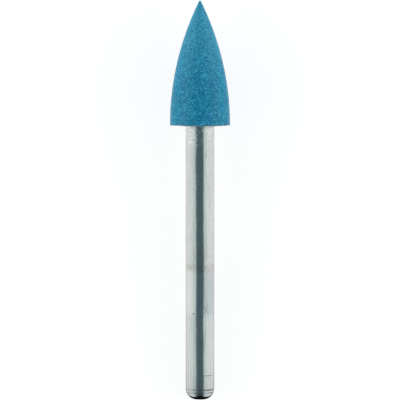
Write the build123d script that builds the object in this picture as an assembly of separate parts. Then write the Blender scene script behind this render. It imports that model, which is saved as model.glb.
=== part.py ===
from build123d import *
from math import acos, atan2, cos, degrees, hypot, sin
import os

# A pointed rubber polisher on a straight steel mandrel, for a dental handpiece.
# Sizes are in millimetres. Each piece is modelled upright on its own axis, with the mandrel's
# tail at height zero and the rubber point on top. The finished pieces are then laid down as the
# polisher rests on a flat surface: on the rim of the head and on the tail of the mandrel.

# Mandrel: a plain shank that a 2.35 mm collet grips, turned round at its tail
shank_diameter = 2.35
shank_length = 22.6
tail_round = 0.88

# Mandrel: the stem that holds the rubber, hidden inside the head above a flat shoulder
stem_diameter = 1.7
stem_length = 6.2
stem_chamfer = 0.25
neck_length = 0.6
neck_diameter = 1.36
spline_count = 16
spline_depth = 0.14
groove_count = 2
groove_width = 0.5
groove_depth = 0.26

# Head: abrasive filled rubber, moulded round the stem
head_diameter = 4.95
head_length = 10.2
point_radius = 0.09

shank_radius = shank_diameter / 2
stem_radius = stem_diameter / 2
neck_radius = neck_diameter / 2
head_radius = head_diameter / 2
neck_top = shank_length + neck_length
stem_top = shank_length + stem_length


def mandrel_blank():
    """The turned bar before its splines: round tail, plain shank, flat shoulder, neck, stem."""
    tail_flat = shank_radius - tail_round
    outline = Polyline(
        (tail_flat, 0),
        (0, 0),
        (0, stem_top),
        (stem_radius - stem_chamfer, stem_top),
        (stem_radius, stem_top - stem_chamfer),
        (stem_radius, neck_top),
        (neck_radius, neck_top),
        (neck_radius, shank_length),
        (shank_radius, shank_length),
        (shank_radius, tail_round),
    )
    outline += CenterArc((tail_flat, tail_round), tail_round, 270, 90)
    return revolve(make_face(Plane.XZ * outline), Axis.Z)


def retaining_grooves():
    """Rings cut round the stem, evenly spaced, which stop the rubber from pulling off."""
    pitch = (stem_top - neck_top) / (groove_count + 1)
    floor_radius = stem_radius - groove_depth
    ring = Cylinder(shank_radius, groove_width) - Cylinder(floor_radius, groove_width)
    heights = [neck_top + pitch * (i + 1) for i in range(groove_count)]
    return [Pos(0, 0, height) * ring for height in heights]


def spline_cutters():
    """Square V-shaped channels along the stem, which stop the rubber from turning on it."""
    root = stem_radius - spline_depth
    outside = stem_radius + spline_depth
    half_width = outside - root
    channel = Polyline((root, 0), (outside, half_width), (outside, -half_width), close=True)
    cutter = extrude(Pos(0, 0, neck_top) * make_face(channel), stem_length)
    return PolarLocations(0, spline_count) * cutter


def make_mandrel():
    """The steel mandrel in one piece, with its stem splined and grooved."""
    return mandrel_blank() - spline_cutters() - retaining_grooves()


def head_blank():
    """The head as a solid pointed form: flat base, ogive flank, small round point."""
    reach = head_length - point_radius
    width = head_radius - point_radius
    flank_radius = (head_radius**2 - point_radius**2 + reach**2) / (2 * width)
    flank_centre = head_radius - flank_radius
    turn = degrees(atan2(reach, -flank_centre))
    flank = CenterArc((flank_centre, 0), flank_radius, 0, turn)
    point = CenterArc((0, reach), point_radius, turn, 90 - turn)
    outline = Polyline((0, head_length), (0, 0), (head_radius, 0)) + flank + point
    return Pos(0, 0, shank_length) * revolve(make_face(Plane.XZ * outline), Axis.Z)


def make_polishing_point(mandrel):
    """The rubber head, whose inside is the form that the mandrel fills."""
    return head_blank() - mandrel


def resting_place():
    """Where the upright polisher goes so that it lies on the head's rim and its own tail."""
    along = shank_length - tail_round
    across = head_radius - shank_radius + tail_round
    lean = acos(tail_round / hypot(along, across)) - atan2(along, across)
    height = head_radius * cos(lean) - shank_length * sin(lean)
    point_end = (shank_length + head_length - point_radius) * cos(lean) + point_radius
    tail_rise = (shank_radius - tail_round) * sin(lean)
    tail_end = tail_round * cos(lean) - tail_rise - tail_round
    middle = (point_end + tail_end) / 2
    return Pos(0, -middle, height) * Rot(degrees(lean) - 90, 0, 0)


mandrel = make_mandrel()
polishing_point = make_polishing_point(mandrel)
place = resting_place()

os.makedirs("parts", exist_ok=True)
export_step(place * mandrel, "parts/mandrel.step")
export_step(place * polishing_point, "parts/polishing_point.step")
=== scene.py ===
"""A pointed rubber dental polisher on a steel mandrel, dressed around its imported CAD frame."""
from math import acos, atan2, cos, hypot, pi, radians, sin, tau

import bpy
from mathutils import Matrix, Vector


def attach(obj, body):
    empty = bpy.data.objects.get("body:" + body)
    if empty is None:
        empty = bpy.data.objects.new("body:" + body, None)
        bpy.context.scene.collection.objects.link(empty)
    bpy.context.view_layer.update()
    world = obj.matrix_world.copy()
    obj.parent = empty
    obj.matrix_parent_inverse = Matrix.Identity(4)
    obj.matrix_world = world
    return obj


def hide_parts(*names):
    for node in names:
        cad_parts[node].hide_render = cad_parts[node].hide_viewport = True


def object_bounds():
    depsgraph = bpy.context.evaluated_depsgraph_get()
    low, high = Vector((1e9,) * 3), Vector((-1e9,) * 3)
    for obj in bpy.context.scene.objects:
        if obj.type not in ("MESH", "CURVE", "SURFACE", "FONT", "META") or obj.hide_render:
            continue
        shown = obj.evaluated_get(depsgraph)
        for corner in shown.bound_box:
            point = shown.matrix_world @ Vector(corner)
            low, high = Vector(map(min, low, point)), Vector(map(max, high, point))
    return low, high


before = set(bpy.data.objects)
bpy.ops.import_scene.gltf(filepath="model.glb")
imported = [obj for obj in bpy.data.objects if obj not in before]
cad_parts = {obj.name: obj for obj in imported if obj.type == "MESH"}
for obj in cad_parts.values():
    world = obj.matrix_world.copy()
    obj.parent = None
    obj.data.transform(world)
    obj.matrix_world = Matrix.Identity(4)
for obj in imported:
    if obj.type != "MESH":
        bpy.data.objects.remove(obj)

bl_info = {
    "name": "Dental Polisher",
    "version": (1, 0, 0),
    "blender": (4, 5, 0),
    "location": "View3D > Sidebar > Polisher",
    "description": "Models a rubber polishing point, its steel mandrel and a pale studio stage",
    "category": "Add Mesh",
}

# The pieces are modelled one unit to the millimetre, upright, with the mandrel's tail at height
# zero, and are brought down to their real size when they are laid in place.
MM = 0.001
CAD_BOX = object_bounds()
WHITE = (1.0, 1.0, 1.0, 1.0)
BLACK = (0.01, 0.01, 0.01, 1.0)

# How finely the pieces are turned
MANDREL_SEGMENTS = 160
HEAD_SEGMENTS = 400
FLANK_RINGS = 190
POINT_RINGS = 3
TAIL_STEPS = 96

# In millimetres: points nearer than the first are one, and within the second they lie on a surface
SAME_POINT = 1e-5
CLOSE_ENOUGH = 1e-3

# What holds the rubber on the stem
SPLINE_COUNT = 16
GROOVE_COUNT = 2

# Heights above the tail's end, in millimetres
TAIL_RINGS = (0.83, 0.57)
HEAT_HEIGHT = 10.85


def length(name, description, millimetres):
    """A size that a user may change, held in metres and written here in millimetres."""
    return bpy.props.FloatProperty(
        name=name,
        description=description,
        default=millimetres * MM,
        min=0.0,
        precision=5,
        unit="LENGTH",
    )


def colour(name, description, red, green, blue):
    """A colour that a user may change, in linear light."""
    return bpy.props.FloatVectorProperty(
        name=name,
        description=description,
        default=(red, green, blue, 1.0),
        size=4,
        min=0.0,
        max=1.0,
        subtype="COLOR",
    )


class PolisherMandrelSettings(bpy.types.PropertyGroup):
    """Sizes and colours of the steel mandrel."""

    shank_diameter: length("Shank diameter", "Plain shank that the collet grips", 2.35)
    shank_length: length("Shank length", "From the tail to the flat shoulder", 22.6)
    tail_round: length("Tail rounding", "Radius turned on the tail", 0.88)
    ring_depth: length("Turned ring depth", "Depth of the two rings left by turning", 0.02)
    ring_width: length("Turned ring width", "Half width of a turned ring", 0.05)
    stem_diameter: length("Stem diameter", "Splined stem that holds the rubber", 1.7)
    stem_length: length("Stem length", "From the shoulder to the end of the stem", 6.2)
    stem_chamfer: length("Stem chamfer", "Chamfer on the end of the stem", 0.25)
    neck_length: length("Neck length", "Thin neck between shoulder and splines", 0.6)
    neck_diameter: length("Neck diameter", "Diameter of the thin neck", 1.36)
    spline_depth: length("Spline depth", "Depth of the V channels along the stem", 0.14)
    groove_width: length("Groove width", "Width of each retaining groove", 0.5)
    groove_depth: length("Groove depth", "Depth of each retaining groove", 0.26)
    steel: colour("Steel", "Bare drawn steel", 0.645, 0.665, 0.657)
    heat_tint: colour("Heat tint", "Brown band where the steel was hot", 0.45, 0.42, 0.375)
    cool_tint: colour("Cool tint", "Lavender cast beside the brown band", 0.515, 0.515, 0.55)
    residue: colour("Residue", "Dried film of bonding agent under the head", 0.97, 0.98, 1.0)
    # Soot is also painted shade in the turned rings and under the head, and partly a painted dark
    # reflection on the tail's end
    soot_and_shade: colour("Soot", "Dark dirt in rings, scratches and pits", 0.12, 0.14, 0.15)


class PolisherHeadSettings(bpy.types.PropertyGroup):
    """Sizes and colours of the rubber head."""

    head_diameter: length("Head diameter", "Across the rim at the flat base", 4.95)
    head_length: length("Head length", "From the flat base to the point", 10.2)
    point_radius: length("Point radius", "Rounding of the point", 0.09)
    grain_size: length("Grain size", "Spacing of the abrasive grain", 0.1)
    grain_depth: length("Grain depth", "How far the grain dips into the surface", 0.012)
    rim_wobble: length("Rim wobble", "How far the moulded rim strays from flat", 0.09)
    rubber: colour("Rubber", "Body colour of the filled rubber", 0.002, 0.238, 0.42)
    light_grain: colour("Light grain", "Pale abrasive grains", 0.10, 0.66, 0.84)
    dark_grain: colour("Dark grain", "Dark pits between grains", 0.001, 0.065, 0.16)
    cool_blotch: colour("Cool blotch", "Cool cast in patches", 0.006, 0.225, 0.455)
    worn_rubber: colour("Worn rubber", "Paler rubber towards the point", 0.075, 0.42, 0.66)
    # The rim grey is painted shade: a grey outline along the rim's edge
    rim_outline_shade: colour("Rim grey", "Scuffed edge of the rim", 0.13, 0.24, 0.30)


class PolisherStageSettings(bpy.types.PropertyGroup):
    """The camera and the floor."""

    lens: bpy.props.FloatProperty(
        name="Lens",
        description="Long lens, which shows the polisher almost without perspective",
        default=400.0,
        min=50.0,
        unit="CAMERA",
    )
    frame_height: length("Frame height", "What the picture spans from top to bottom", 32.84)
    frame_middle: length("Frame middle", "How far the camera stands towards the point", 0.033)
    floor_size: length("Floor size", "Side of the square floor", 2000.0)


def in_mm(value):
    """A length of a property group, in modelling units."""
    return value / MM


def deselect_everything():
    """Object mode with nothing selected, since the frame's own nodes come in selected."""
    bpy.ops.object.select_all(action="DESELECT")
    bpy.context.view_layer.objects.active = None


def resting_place(mandrel, head):
    """Lean and place of the lying polisher, which rests on the head's rim and on its tail."""
    head_radius = in_mm(head.head_diameter) / 2
    shank_radius = in_mm(mandrel.shank_diameter) / 2
    shank_length = in_mm(mandrel.shank_length)
    tail_round = in_mm(mandrel.tail_round)
    point_radius = in_mm(head.point_radius)
    along = shank_length - tail_round
    across = head_radius - shank_radius + tail_round
    lean = acos(tail_round / hypot(along, across)) - atan2(along, across)
    height = head_radius * cos(lean) - shank_length * sin(lean)
    reach = shank_length + in_mm(head.head_length) - point_radius
    point_end = reach * cos(lean) + point_radius
    tail_end = tail_round * cos(lean) - (shank_radius - tail_round) * sin(lean) - tail_round
    middle = (point_end + tail_end) / 2
    return lean, Vector((0.0, -middle, height)) * MM


def turn_profile(name, profile, segments):
    """Turn an outline of (radius, height) points round the upright axis into a closed piece."""
    deselect_everything()
    radius, height = profile[0]
    bpy.ops.mesh.primitive_plane_add(size=1.0, location=(0.0, 0.0, 0.0))
    piece = bpy.context.object
    piece.name = name
    piece.data.name = name
    bpy.ops.object.mode_set(mode="EDIT")
    bpy.ops.mesh.select_mode(type="VERT")
    bpy.ops.mesh.merge(type="CENTER")
    bpy.ops.transform.translate(value=(radius, 0.0, height))
    for next_radius, next_height in profile[1:]:
        step = (next_radius - radius, 0.0, next_height - height)
        bpy.ops.mesh.extrude_region_move(TRANSFORM_OT_translate={"value": step})
        radius, height = next_radius, next_height
    bpy.ops.mesh.select_all(action="SELECT")
    bpy.ops.mesh.spin(steps=segments, angle=tau, center=(0.0, 0.0, 0.0), axis=(0.0, 0.0, 1.0))
    bpy.ops.mesh.select_all(action="SELECT")
    bpy.ops.mesh.remove_doubles(threshold=SAME_POINT)
    bpy.ops.mesh.normals_make_consistent(inside=False)
    bpy.ops.object.mode_set(mode="OBJECT")
    return piece


def select_vertices(piece, wanted):
    """Select in edit mode the vertices for which wanted(position) is true."""
    bpy.ops.object.mode_set(mode="OBJECT")
    for edge in piece.data.edges:
        edge.select = False
    for face in piece.data.polygons:
        face.select = False
    count = 0
    for vertex in piece.data.vertices:
        vertex.select = wanted(vertex.co)
        count += vertex.select
    bpy.ops.object.mode_set(mode="EDIT")
    bpy.ops.mesh.select_mode(type="VERT")
    return count


def stem_profile(mandrel):
    """Outline of the neck, grooves and stem, from the shoulder up to the end on the axis."""
    shank_length = in_mm(mandrel.shank_length)
    neck_radius = in_mm(mandrel.neck_diameter) / 2
    stem_radius = in_mm(mandrel.stem_diameter) / 2
    chamfer = in_mm(mandrel.stem_chamfer)
    neck_top = shank_length + in_mm(mandrel.neck_length)
    stem_top = shank_length + in_mm(mandrel.stem_length)
    groove_radius = stem_radius - in_mm(mandrel.groove_depth)
    half_groove = in_mm(mandrel.groove_width) / 2
    pitch = (stem_top - neck_top) / (GROOVE_COUNT + 1)
    profile = [(neck_radius, shank_length), (neck_radius, neck_top), (stem_radius, neck_top)]
    for number in range(GROOVE_COUNT):
        groove = neck_top + (number + 1) * pitch
        profile += [
            (stem_radius, groove - half_groove),
            (groove_radius, groove - half_groove),
            (groove_radius, groove + half_groove),
            (stem_radius, groove + half_groove),
        ]
    profile += [
        (stem_radius, stem_top - chamfer),
        (stem_radius - chamfer, stem_top),
        (0.0, stem_top),
    ]
    return profile


def cut_splines(piece, mandrel, segments):
    """Push the V channels into the stem, one row of vertices after another."""
    stem_radius = in_mm(mandrel.stem_diameter) / 2
    root = stem_radius - in_mm(mandrel.spline_depth)
    neck_top = in_mm(mandrel.shank_length) + in_mm(mandrel.neck_length)
    pitch = tau / SPLINE_COUNT
    rows = int(segments / SPLINE_COUNT / 2) + 1
    step = tau / segments
    for row in range(rows):
        angle = row * step
        radius = root / (cos(angle) - sin(angle))
        if radius >= stem_radius:
            break

        def on_this_row(co):
            on_stem = abs(hypot(co.x, co.y) - stem_radius) <= CLOSE_ENOUGH
            if co.z < neck_top - CLOSE_ENOUGH or not on_stem:
                return False
            turned = abs((atan2(co.y, co.x) + pitch / 2) % pitch - pitch / 2)
            return abs(turned - angle) < step / 4

        select_vertices(piece, on_this_row)
        factor = radius / stem_radius
        bpy.ops.transform.resize(value=(factor, factor, 1.0), center_override=(0.0, 0.0, 0.0))
    bpy.ops.object.mode_set(mode="OBJECT")


def lay_down(piece, lean, place, smooth_angle):
    """Bring an upright piece to its real size, lay it in the frame and shade it smooth."""
    piece.rotation_euler = (lean - pi / 2, 0.0, 0.0)
    piece.location = place
    piece.scale = (MM, MM, MM)
    bpy.ops.object.transform_apply(location=True, rotation=True, scale=True)
    bpy.ops.object.shade_smooth_by_angle(angle=smooth_angle)


def tail_profile(mandrel):
    """Outline of the rounded tail with its two turned rings, from the axis to the shank."""
    shank_radius = in_mm(mandrel.shank_diameter) / 2
    tail_round = in_mm(mandrel.tail_round)
    depth = in_mm(mandrel.ring_depth)
    width = in_mm(mandrel.ring_width)
    flat = shank_radius - tail_round
    profile = [(0.0, 0.0), (flat / 2, 0.0)]
    for number in range(TAIL_STEPS + 1):
        angle = pi / 2 * number / TAIL_STEPS
        radius = flat + tail_round * sin(angle)
        height = tail_round * (1 - cos(angle))
        cut = sum(max(0.0, 1 - ((height - ring) / width) ** 2) for ring in TAIL_RINGS)
        profile.append((radius - depth * min(cut, 1.0) * sin(angle), height))
    profile.append((shank_radius, tail_round + width))
    return profile


class NodeBoard:
    """Places nodes in one shader tree and joins them by socket name or number."""

    def __init__(self, tree):
        self.tree = tree
        tree.nodes.clear()

    def add(self, kind, inputs=None, **settings):
        node = self.tree.nodes.new(kind)
        for name, value in settings.items():
            setattr(node, name, value)
        for name, value in (inputs or {}).items():
            self.put(node.inputs[name], value)
        return node

    def put(self, socket, value):
        if isinstance(value, bpy.types.NodeSocket):
            self.tree.links.new(value, socket)
        else:
            socket.default_value = value

    def math(self, operation, first, second=0.0):
        return self.add("ShaderNodeMath", {0: first, 1: second}, operation=operation).outputs[0]

    def product(self, first, *others):
        """All the factors multiplied together."""
        for factor in others:
            first = self.math("MULTIPLY", first, factor)
        return first

    def mix(self, factor, first, second, blend="MIX"):
        node = self.add("ShaderNodeMix", data_type="RGBA", blend_type=blend)
        node.clamp_factor = True
        self.put(node.inputs[0], factor)
        self.put(node.inputs[6], first)
        self.put(node.inputs[7], second)
        return node.outputs[2]

    def fade(self, value, low, high, start=0.0, end=1.0):
        """A smooth step of value from low to high."""
        inputs = {0: value, 1: low, 2: high, 3: start, 4: end}
        node = self.add("ShaderNodeMapRange", inputs, interpolation_type="SMOOTHSTEP")
        return node.outputs[0]

    def noise(self, vector, scale, detail=2.0, roughness=0.5):
        inputs = {"Vector": vector, "Scale": scale, "Detail": detail, "Roughness": roughness}
        return self.add("ShaderNodeTexNoise", inputs).outputs["Fac"]

    def drawn(self, vector, share):
        """The same coordinates, drawn out along the shank: heights count for this share only."""
        inputs = {0: vector, 1: (1.0, 1.0, share)}
        return self.add("ShaderNodeVectorMath", inputs, operation="MULTIPLY").outputs[0]

    def parts(self, vector):
        """The x, y and z of a vector."""
        return self.add("ShaderNodeSeparateXYZ", {0: vector}).outputs

    def group(self, tree, inputs):
        node = self.tree.nodes.new("ShaderNodeGroup")
        node.node_tree = tree
        for name, value in inputs.items():
            self.put(node.inputs[name], value)
        return node.outputs

    def ramp(self, value, stops):
        """A colour ramp through (position, colour) stops."""
        node = self.add("ShaderNodeValToRGB", {0: value})
        elements = node.color_ramp.elements
        while len(elements) < len(stops):
            elements.new(0.5)
        for element, (position, tone) in zip(elements, stops):
            element.position = position
            element.color = tone
        return node.outputs[0]


def mask_group(name, inputs):
    """A shader node group with these inputs and one mask; an input without a number is a vector."""
    tree = bpy.data.node_groups.new(name, "ShaderNodeTree")
    board = NodeBoard(tree)
    for socket_name, default in inputs.items():
        kind = "NodeSocketVector" if default is None else "NodeSocketFloat"
        socket = tree.interface.new_socket(socket_name, in_out="INPUT", socket_type=kind)
        if default is not None:
            socket.default_value = default
    tree.interface.new_socket("Mask", in_out="OUTPUT", socket_type="NodeSocketFloat")
    entry = board.add("NodeGroupInput").outputs
    result = board.add("NodeGroupOutput").inputs["Mask"]
    return board, entry, result


def make_band_group():
    """Mask of a band: one between its two edges, fading to nothing over the softness."""
    inputs = {"Value": 0.0, "Centre": 0.0, "Half Width": 1.0, "Softness": 0.1}
    board, entry, result = mask_group("Band Mask", inputs)
    offset = board.math("ABSOLUTE", board.math("SUBTRACT", entry["Value"], entry["Centre"]))
    outer = board.math("ADD", entry["Half Width"], entry["Softness"])
    board.put(result, board.fade(offset, entry["Half Width"], outer, start=1.0, end=0.0))


def make_speck_group():
    """Mask of scattered specks: cells of a fine foam, of which a share is picked out."""
    inputs = {"Vector": None, "Scale": 10.0, "Share": 0.1, "Size": 0.4, "Seed": 0.0}
    board, entry, result = mask_group("Speck Mask", inputs)
    moved = {0: entry["Vector"], 1: entry["Seed"]}
    placed = board.add("ShaderNodeVectorMath", moved, operation="ADD").outputs[0]
    cells = board.add("ShaderNodeTexVoronoi", {"Vector": placed, "Scale": entry["Scale"]})
    pick = board.add("ShaderNodeSeparateColor", {0: cells.outputs["Color"]}).outputs[0]
    chosen = board.math("LESS_THAN", pick, entry["Share"])
    inside = board.fade(cells.outputs["Distance"], 0.0, entry["Size"], start=1.0, end=0.0)
    board.put(result, board.product(chosen, inside))


def band_mask(board, value, centre, half_width, softness):
    """One within half a width of the centre, fading to nothing over the softness."""
    inputs = {"Value": value, "Centre": centre, "Half Width": half_width, "Softness": softness}
    return board.group(bpy.data.node_groups["Band Mask"], inputs)["Mask"]


def speck_mask(board, vector, scale, share, size, seed):
    """Specks in a share of the cells of a foam of this scale."""
    inputs = {"Vector": vector, "Scale": scale, "Share": share, "Size": size, "Seed": seed}
    return board.group(bpy.data.node_groups["Speck Mask"], inputs)["Mask"]


def new_material(name, kind):
    """A node material with its own board and a shader of this kind."""
    material = bpy.data.materials.new(name)
    material.use_nodes = True
    board = NodeBoard(material.node_tree)
    output = board.add("ShaderNodeOutputMaterial")
    shader = board.add(kind)
    board.put(output.inputs["Surface"], shader.outputs[0])
    return material, board, shader


def axis_coordinates(board, lean, place):
    """Coordinates in millimetres on the upright piece: x right, -y to the camera, z from the tail."""
    where = board.add("ShaderNodeTexCoord").outputs["Object"]
    inputs = {
        "Vector": where,
        "Location": place,
        "Rotation": (lean - pi / 2, 0.0, 0.0),
        "Scale": (MM, MM, MM),
    }
    return board.add("ShaderNodeMapping", inputs, vector_type="TEXTURE").outputs[0]


def rubber_material(head, mandrel, lean, place):
    """Abrasive filled rubber: blue body, pale grains, dark pits, soft patches and painted shade along
    the rim's edge.
    """
    material, board, shader = new_material("abrasive_rubber", "ShaderNodeBsdfPrincipled")
    vector = axis_coordinates(board, lean, place)
    height = board.parts(vector)[2]
    base = in_mm(mandrel.shank_length)
    tip = base + in_mm(head.head_length)
    # Soft patches, and rubber worn paler towards the point
    patch = board.noise(vector, scale=1.1, detail=3.0, roughness=0.55)
    tone = board.mix(board.fade(patch, 0.42, 0.66), head.rubber, head.cool_blotch)
    cloudy = board.noise(vector, scale=2.6)
    tone = board.mix(board.fade(cloudy, 0.42, 0.25, end=0.5), tone, head.dark_grain)
    tone = board.mix(board.fade(cloudy, 0.55, 0.75, end=0.4), tone, head.light_grain)
    tone = board.mix(board.fade(height, tip - 8.5, tip - 1.0, end=0.6), tone, head.worn_rubber)
    # Grain, with single pale grains and dark pits standing out
    fine = board.noise(vector, scale=9.5, detail=3.0, roughness=0.75)
    tone = board.mix(board.fade(fine, 0.5, 0.68, end=0.7), tone, head.light_grain)
    tone = board.mix(board.fade(fine, 0.5, 0.32, end=0.75), tone, head.dark_grain)
    pale = speck_mask(board, vector, scale=9.0, share=0.2, size=0.7, seed=3.1)
    dark = speck_mask(board, vector, scale=9.0, share=0.2, size=0.6, seed=7.7)
    tone = board.mix(board.product(pale, 0.85), tone, head.light_grain)
    tone = board.mix(board.product(dark, 0.85), tone, head.dark_grain)
    # Painted shade: a grey outline along the rim's edge
    edge = band_mask(board, height, centre=base, half_width=0.03, softness=0.12)
    tone = board.mix(board.product(edge, 0.6), tone, head.rim_outline_shade)
    board.put(shader.inputs["Base Color"], tone)
    board.put(shader.inputs["Roughness"], board.fade(fine, 0.3, 0.7, start=0.54, end=0.38))
    shader.inputs["Specular IOR Level"].default_value = 0.22
    shader.inputs["Sheen Weight"].default_value = 0.15
    shader.inputs["Sheen Roughness"].default_value = 0.25
    relief = board.math("ADD", fine, board.product(pale, 0.5))
    bump = board.add("ShaderNodeBump", {"Strength": 0.35, "Distance": 0.01 * MM, "Height": relief})
    board.put(shader.inputs["Normal"], bump.outputs[0])
    return material


def steel_marks(board, across, depth, height):
    """Small dark marks on the side that faces the camera, each a soft tilted rectangle."""
    marks = (
        # across, height, half width, half height, slope, strength
        (-0.54, 7.14, 0.035, 0.035, 0.0, 0.95),
        (0.62, 2.03, 0.32, 0.012, 0.02, 0.65),
        (0.52, 7.55, 0.03, 0.36, 0.45, 0.24),
        (0.50, 7.45, 0.03, 0.30, -0.55, 0.24),
        (0.48, 20.1, 0.06, 0.16, 0.1, 0.22),
        (-0.60, 17.4, 0.16, 0.012, 0.0, 0.30),
        (0.30, 13.2, 0.012, 0.6, 0.03, 0.30),
    )
    soft = 0.04
    total = 0.0
    for x, u, half_width, half_height, slope, strength in marks:
        rise = board.math("SUBTRACT", height, u)
        slide = board.math("SUBTRACT", across, board.product(rise, slope))
        wide = band_mask(board, slide, x, half_width, soft)
        tall = band_mask(board, rise, 0.0, half_height, soft)
        total = board.math("MAXIMUM", total, board.product(wide, tall, strength))
    return board.product(total, board.fade(depth, 0.0, -0.2))


def steel_tints(board, tone, mandrel, across, height, broad, mottle):
    """The tone with its heat band, the casts beside and below it, and tarnish at the tail."""
    bleached = (0.72, 0.735, 0.73, 1.0)
    teal_steel = (0.42, 0.58, 0.60, 1.0)
    tarnished = (0.43, 0.44, 0.445, 1.0)
    heat = band_mask(board, height, centre=HEAT_HEIGHT, half_width=0.05, softness=0.5)
    smoky = board.product(heat, board.fade(mottle, 0.35, 0.62, start=0.2, end=0.8))
    tone = board.mix(smoky, tone, mandrel.heat_tint)
    beside = board.fade(board.math("ABSOLUTE", across), 0.85, 0.3)
    halo = band_mask(board, height, centre=HEAT_HEIGHT + 1.05, half_width=0.3, softness=0.9)
    tone = board.mix(board.product(halo, beside, 0.3), tone, mandrel.heat_tint)
    cool = band_mask(board, height, centre=HEAT_HEIGHT - 1.95, half_width=1.5, softness=0.7)
    right = board.fade(across, 0.2, 0.45, end=0.85)
    cast = board.product(cool, right, board.fade(broad, 0.3, 0.65, start=0.6))
    tone = board.mix(cast, tone, mandrel.cool_tint)
    left = board.fade(across, -0.1, -0.35, end=0.6)
    tone = board.mix(board.product(cool, left), tone, bleached)
    teal = band_mask(board, height, centre=HEAT_HEIGHT - 2.35, half_width=1.0, softness=1.2)
    middle = board.fade(across, -0.4, -0.1, end=0.2)
    tone = board.mix(board.product(teal, middle), tone, teal_steel)
    return board.mix(board.fade(height, 3.4, 0.4, end=0.45), tone, tarnished)


def steel_material(mandrel, lean, place):
    """Drawn steel with lengthwise lines, a heat band, dried residue and small scratches."""
    dark_line = (0.42, 0.46, 0.45, 1.0)
    pale_line = (0.70, 0.72, 0.71, 1.0)
    greenish = (0.52, 0.60, 0.55, 1.0)
    dull = (0.46, 0.49, 0.48, 1.0)
    material, board, shader = new_material("drawn_steel", "ShaderNodeBsdfPrincipled")
    vector = axis_coordinates(board, lean, place)
    across, depth, height = board.parts(vector)
    shoulder = in_mm(mandrel.shank_length)
    lines = board.noise(board.drawn(vector, 0.03), scale=9.0, detail=4.0, roughness=0.75)
    broad = board.noise(board.drawn(vector, 0.15), scale=2.2, detail=3.0, roughness=0.55)
    mottle = board.noise(board.drawn(vector, 0.6), scale=5.0, detail=3.0, roughness=0.65)
    tone = board.mix(board.fade(lines, 0.5, 0.66, end=0.6), mandrel.steel, dark_line)
    tone = board.mix(board.fade(lines, 0.46, 0.30, end=0.6), tone, pale_line)
    tone = board.mix(board.fade(broad, 0.45, 0.7, end=0.3), tone, greenish)
    tone = board.mix(board.fade(mottle, 0.5, 0.7, end=0.5), tone, dull)
    tone = steel_tints(board, tone, mandrel, across, height, broad, mottle)
    # Dirt and painted shade: small dark marks, painted shade in the two turned rings and in the corner
    # under the head, and the tail's end, partly dark oxide and partly a painted dark reflection
    dirt_and_shade = steel_marks(board, across, depth, height)
    patches = board.noise(vector, scale=3.0, roughness=0.6)
    broken = board.fade(patches, 0.4, 0.56, start=0.2)
    # Painted shade in the two turned rings, on top of their cut grooves
    for ring in TAIL_RINGS:
        groove = band_mask(board, height, centre=ring + 0.015, half_width=0.03, softness=0.05)
        dirt_and_shade = board.math("MAXIMUM", dirt_and_shade, board.product(groove, broken, 0.95))
    # Painted shade on the shank just under the head, standing in for the head's shadow seen in the
    # steel
    corner = band_mask(board, height, centre=shoulder, half_width=0.05, softness=0.3)
    dirt_and_shade = board.math("MAXIMUM", dirt_and_shade, board.product(corner, 0.3))
    tone = board.mix(dirt_and_shade, tone, mandrel.soot_and_shade)
    # The tail's end darkened: partly dark oxide, partly a painted dark reflection
    tone = board.mix(board.fade(height, 0.22, 0.02, end=0.6), tone, mandrel.soot_and_shade)
    # Residue: a broken, grainy film under the head, thicker on the left
    film = band_mask(board, height, centre=shoulder - 0.8, half_width=0.6, softness=0.5)
    dots = speck_mask(board, vector, scale=5.0, share=0.75, size=0.8, seed=1.3)
    blots = board.noise(vector, scale=2.2, detail=3.0, roughness=0.6)
    patchy = board.fade(blots, 0.35, 0.55, start=0.2)
    sided = board.fade(across, 0.3, -0.35, start=0.45)
    film = board.product(film, patchy, dots, sided)
    board.put(shader.inputs["Base Color"], board.mix(film, tone, mandrel.residue))
    shader.inputs["Metallic"].default_value = 1.0
    rough = board.fade(lines, 0.3, 0.7, start=0.15, end=0.24)
    rough = board.math("ADD", rough, board.product(film, 0.12))
    rough = board.math("ADD", rough, board.product(dirt_and_shade, 0.3))
    board.put(shader.inputs["Roughness"], rough)
    # A slight waviness, which the edges of the mirrored strips follow, and the drawn lines
    waves = board.noise(board.drawn(vector, 0.3), scale=0.9, detail=1.0, roughness=0.4)
    swell = board.add("ShaderNodeBump", {"Strength": 1.0, "Distance": 0.04 * MM, "Height": waves})
    relief = board.math("ADD", lines, board.product(film, 14.0))
    inputs = {"Strength": 0.1, "Distance": 0.01 * MM, "Height": relief, "Normal": swell.outputs[0]}
    bump = board.add("ShaderNodeBump", inputs)
    board.put(shader.inputs["Normal"], bump.outputs[0])
    return material


class POLISHER_OT_mandrel(bpy.types.Operator):
    """Model the steel mandrel with its rounded tail and its splined, grooved stem"""

    bl_idname = "polisher.mandrel"
    bl_label = "Steel Mandrel"

    def execute(self, context):
        mandrel = context.scene.polisher_mandrel
        head = context.scene.polisher_head
        shank_radius = in_mm(mandrel.shank_diameter) / 2
        profile = tail_profile(mandrel)
        profile.append((shank_radius, in_mm(mandrel.shank_length)))
        profile += stem_profile(mandrel)
        piece = turn_profile("steel_mandrel", profile, MANDREL_SEGMENTS)
        cut_splines(piece, mandrel, MANDREL_SEGMENTS)
        lean, place = resting_place(mandrel, head)
        lay_down(piece, lean, place, smooth_angle=radians(35))
        piece.data.materials.append(steel_material(mandrel, lean, place))
        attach(piece, "root")
        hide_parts("mandrel")
        return {"FINISHED"}


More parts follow.
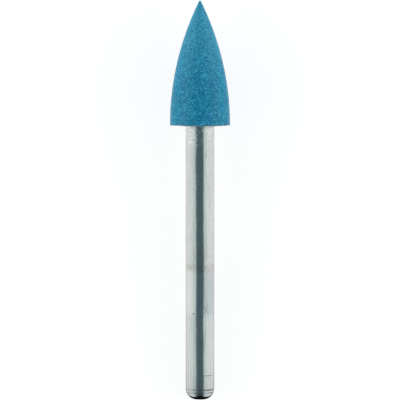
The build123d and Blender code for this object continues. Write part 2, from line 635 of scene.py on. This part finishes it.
class POLISHER_OT_head(bpy.types.Operator):
    """Model the rubber head: ogive flank, grained skin, uneven rim and the hollow round the stem"""

    bl_idname = "polisher.head"
    bl_label = "Rubber Point"

    def execute(self, context):
        mandrel = context.scene.polisher_mandrel
        head = context.scene.polisher_head
        base = in_mm(mandrel.shank_length)
        head_radius = in_mm(head.head_diameter) / 2
        profile = self.flank_profile(head, base, head_radius)
        base_insets = (0.02, 0.08, 0.2, 0.45, 0.8)
        profile += [(head_radius - inset, base) for inset in base_insets]
        profile += stem_profile(mandrel)
        piece = turn_profile("rubber_point", profile, HEAD_SEGMENTS)
        cut_splines(piece, mandrel, HEAD_SEGMENTS)
        self.roughen(piece, head, base, head_radius)
        lean, place = resting_place(mandrel, head)
        lay_down(piece, lean, place, smooth_angle=radians(50))
        piece.data.materials.append(rubber_material(head, mandrel, lean, place))
        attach(piece, "root")
        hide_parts("polishing_point")
        return {"FINISHED"}

    def flank_profile(self, head, base, head_radius):
        """Outline of the small round point and the ogive flank, down to the rim."""
        head_length = in_mm(head.head_length)
        point_radius = in_mm(head.point_radius)
        reach = head_length - point_radius
        width = head_radius - point_radius
        flank_radius = (head_radius**2 - point_radius**2 + reach**2) / (2 * width)
        flank_centre = head_radius - flank_radius
        turn = atan2(reach, -flank_centre)
        profile = [(0.0, base + head_length)]
        for number in range(1, POINT_RINGS + 1):
            angle = pi / 2 - (pi / 2 - turn) * number / POINT_RINGS
            profile.append((point_radius * cos(angle), base + reach + point_radius * sin(angle)))
        for number in range(1, FLANK_RINGS + 1):
            angle = turn * (1 - number / FLANK_RINGS)
            profile.append((flank_centre + flank_radius * cos(angle), base + flank_radius * sin(angle)))
        return profile

    def roughen(self, piece, head, base, head_radius):
        """Sink the grain into the flank, and let the moulded rim stray from flat."""
        rim_height = 0.25
        rim_width = 0.3
        base_width = 0.5
        base_share = 0.6
        for name in ("flank", "rim"):
            piece.vertex_groups.new(name=name)
        flank = piece.vertex_groups["flank"]
        rim = piece.vertex_groups["rim"]
        for vertex in piece.data.vertices:
            radius = hypot(vertex.co.x, vertex.co.y)
            rise = vertex.co.z - base
            inset = head_radius - radius
            if rise > CLOSE_ENOUGH and self.is_on_flank(radius, rise, head, head_radius):
                flank.add([vertex.index], 1.0, "REPLACE")
                rim.add([vertex.index], max(0.0, 1 - rise / rim_height), "REPLACE")
            elif abs(rise) <= CLOSE_ENOUGH and inset < base_width:
                flank.add([vertex.index], base_share, "REPLACE")
                rim.add([vertex.index], max(0.0, 1 - inset / rim_width), "REPLACE")
        jobs = (
            # name, vertex group, direction, depth, size of the pattern, level that stays put
            ("grain", "flank", "NORMAL", head.grain_depth, in_mm(head.grain_size), 1.0),
            ("waves", "flank", "NORMAL", head.grain_depth * 1.2, 0.9, 1.0),
            ("rim", "rim", "Z", head.rim_wobble, 0.35, 0.8),
        )
        for name, group, direction, depth, size, level in jobs:
            texture = bpy.data.textures.new(name, "CLOUDS")
            texture.noise_scale = size
            texture.noise_depth = 2
            modifier = piece.modifiers.new(name, "DISPLACE")
            modifier.texture = texture
            modifier.texture_coords = "LOCAL"
            modifier.vertex_group = group
            modifier.direction = direction
            modifier.strength = in_mm(depth)
            modifier.mid_level = level
            bpy.ops.object.modifier_apply(modifier=name)

    def is_on_flank(self, radius, rise, head, head_radius):
        """True on the flank, false at the tip and in the hollow round the stem."""
        hollow_share = 0.75
        cone_radius = head_radius * (1 - rise / in_mm(head.head_length))
        return radius > 0.0 and radius > cone_radius * hollow_share


class POLISHER_OT_stage(bpy.types.Operator):
    """Set the camera straight above the polisher, with a white floor and soft studio light"""

    bl_idname = "polisher.stage"
    bl_label = "Stage"

    def execute(self, context):
        settings = context.scene.polisher_stage
        self.add_camera(context.scene, settings)
        self.add_floor(settings)
        self.add_flag()
        self.light_world(context.scene)
        context.scene.view_settings.view_transform = "Standard"
        return {"FINISHED"}

    def add_camera(self, scene, settings):
        """A long lens, so far off that the picture spans the frame height where the shank lies."""
        deselect_everything()
        sensor = 36.0
        shank_height = 2.1 * MM
        distance = settings.frame_height * settings.lens / sensor + shank_height
        place = (0.0, settings.frame_middle, distance)
        bpy.ops.object.camera_add(location=place, rotation=(0.0, 0.0, 0.0))
        camera = bpy.context.object
        camera.data.lens = settings.lens
        camera.data.sensor_width = sensor
        camera.data.clip_start = 0.01
        camera.data.clip_end = 20.0
        scene.camera = camera

    def add_floor(self, settings):
        """A floor that looks white to the camera and keeps the polisher's shadow."""
        deselect_everything()
        bpy.ops.mesh.primitive_plane_add(size=settings.floor_size, location=(0.0, 0.0, 0.0))
        floor = bpy.context.object
        floor.name = "studio_floor"
        seen_grey = (0.34, 0.34, 0.34, 1.0)
        unseen_grey = (0.55, 0.55, 0.55, 1.0)
        glow_level = 0.83
        mirrored_gain = 0.05
        material, board, both = new_material("white_floor", "ShaderNodeAddShader")
        path = board.add("ShaderNodeLightPath").outputs
        seen = board.math("MAXIMUM", path["Is Camera Ray"], path["Is Glossy Ray"])
        seen = board.math("MAXIMUM", seen, path["Is Transmission Ray"])
        # In the steel the floor is darker close to the polisher, under which little light comes
        where = board.add("ShaderNodeTexCoord").outputs["Object"]
        aside = board.math("ABSOLUTE", board.parts(where)[0])
        close = board.fade(aside, 3.0 * MM, 1.6 * MM, start=0.04, end=0.5)
        gain = board.math("SUBTRACT", mirrored_gain, close)
        mirrored = board.product(path["Is Glossy Ray"], gain)
        level = board.math("ADD", board.product(seen, glow_level), mirrored)
        tone = board.mix(seen, unseen_grey, seen_grey)
        diffuse = board.add("ShaderNodeBsdfDiffuse", {"Color": tone})
        glow = board.add("ShaderNodeEmission", {"Color": WHITE, "Strength": level})
        board.put(both.inputs[0], diffuse.outputs[0])
        board.put(both.inputs[1], glow.outputs[0])
        floor.data.materials.append(material)

    def add_flag(self):
        """A black card on the floor beyond the tail, which only the steel's reflection shows."""
        deselect_everything()
        tail = CAD_BOX[0][1]
        reach = 400.0 * MM
        far_share = 0.65
        near_share = 0.0123
        middle = tail - reach / 2 - 0.01 * MM
        bpy.ops.mesh.primitive_plane_add(size=reach, location=(0.0, middle, 0.02 * MM))
        flag = bpy.context.object
        flag.name = "reflection_flag"
        flag.scale.x = far_share
        if select_vertices(flag, lambda co: co.y > 0.0) != 2:
            raise RuntimeError("the flag has lost its near edge")
        bpy.ops.transform.resize(value=(near_share, 1.0, 1.0), center_override=(0.0, tail, 0.0))
        bpy.ops.object.mode_set(mode="OBJECT")
        bpy.ops.object.transform_apply(location=True, rotation=True, scale=True)
        material, _, shader = new_material("black_card", "ShaderNodeBsdfDiffuse")
        shader.inputs["Color"].default_value = BLACK
        flag.data.materials.append(material)
        flag.visible_camera = False
        flag.visible_diffuse = False
        flag.visible_transmission = False
        flag.visible_shadow = False

    def light_world(self, scene):
        """A light tent seen in the steel as long strips, with a dark gap above the polisher."""
        world = bpy.data.worlds.new("light_tent")
        scene.world = world
        world.use_nodes = True
        board = NodeBoard(world.node_tree)
        output = board.add("ShaderNodeOutputWorld")
        direction = board.add("ShaderNodeTexCoord").outputs["Generated"]
        x, y, z = board.parts(direction)
        # How far a surface leans to the side, and to the tail, to mirror this direction upwards
        just_over_two = 2.0001
        spread = board.math("SQRT", board.math("ADD", board.product(z, 2.0), just_over_two))
        facing = board.math("DIVIDE", x, spread)
        forward = board.math("DIVIDE", y, spread)
        dark = (0.10, 0.147, 0.176, 1.0)
        strips = (
            (-1.0, (0.90, 0.95, 0.94, 1.0)),
            (-0.91, (0.953, 0.995, 0.984, 1.0)),
            (-0.58, (0.953, 0.995, 0.984, 1.0)),
            (-0.47, (0.77, 0.87, 0.81, 1.0)),
            (-0.35, (0.67, 0.76, 0.76, 1.0)),
            (-0.285, (0.63, 0.73, 0.74, 1.0)),
            (-0.262, dark),
            (0.240, dark),
            (0.265, (0.68, 0.77, 0.78, 1.0)),
            (0.415, (0.83, 0.94, 0.89, 1.0)),
            (0.554, (0.98, 1.0, 1.0, 1.0)),
            (1.0, (0.98, 1.0, 1.0, 1.0)),
        )
        far_end = (0.95, 0.98, 0.97, 1.0)
        position = board.math("ADD", board.product(facing, 0.5), 0.5)
        tent = board.ramp(position, [((place + 1) / 2, tone) for place, tone in strips])
        tent = board.mix(board.fade(forward, 0.45, 0.6), tent, far_end)
        side = board.math("ABSOLUTE", facing)
        under = board.math("ADD", forward, board.product(side, 0.32))
        tent = board.mix(board.fade(under, -0.47, -0.60), tent, BLACK)
        # Soft light for the rubber: two broad side lights with a gap overhead
        side_light = (0.94, 1.0, 0.94, 1.0)
        overhead = (
            (0.0, (0.08, 0.09, 0.11, 1.0)),
            (0.34, (0.14, 0.16, 0.18, 1.0)),
            (0.48, side_light),
            (1.0, side_light),
        )
        strength = (2.4, 2.4, 2.4, 1.0)
        soft = board.mix(1.0, board.ramp(side, overhead), strength, "MULTIPLY")
        path = board.add("ShaderNodeLightPath").outputs
        tone = board.mix(path["Is Diffuse Ray"], tent, soft)
        tone = board.mix(path["Is Camera Ray"], tone, WHITE)
        background = board.add("ShaderNodeBackground", {"Color": tone, "Strength": 1.0})
        board.put(output.inputs["Surface"], background.outputs[0])


class POLISHER_PT_panel(bpy.types.Panel):
    """Lists the tools that build the polisher."""

    bl_idname = "POLISHER_PT_panel"
    bl_label = "Dental Polisher"
    bl_space_type = "VIEW_3D"
    bl_region_type = "UI"
    bl_category = "Polisher"

    def draw(self, context):
        for operator in OPERATORS:
            self.layout.operator(operator.bl_idname)


OPERATORS = (POLISHER_OT_stage, POLISHER_OT_mandrel, POLISHER_OT_head)
SETTINGS = {
    "polisher_mandrel": PolisherMandrelSettings,
    "polisher_head": PolisherHeadSettings,
    "polisher_stage": PolisherStageSettings,
}


def register():
    for group in SETTINGS.values():
        bpy.utils.register_class(group)
    for operator in OPERATORS:
        bpy.utils.register_class(operator)
    bpy.utils.register_class(POLISHER_PT_panel)
    for name, group in SETTINGS.items():
        setattr(bpy.types.Scene, name, bpy.props.PointerProperty(type=group))


def unregister():
    for name in SETTINGS:
        delattr(bpy.types.Scene, name)
    bpy.utils.unregister_class(POLISHER_PT_panel)
    for operator in reversed(OPERATORS):
        bpy.utils.unregister_class(operator)
    for group in reversed(SETTINGS.values()):
        bpy.utils.unregister_class(group)


def main():
    register()
    make_band_group()
    make_speck_group()
    bpy.ops.polisher.stage()
    bpy.ops.polisher.mandrel()
    bpy.ops.polisher.head()
    bpy.context.view_layer.update()


if __name__ == "__main__":
    main()
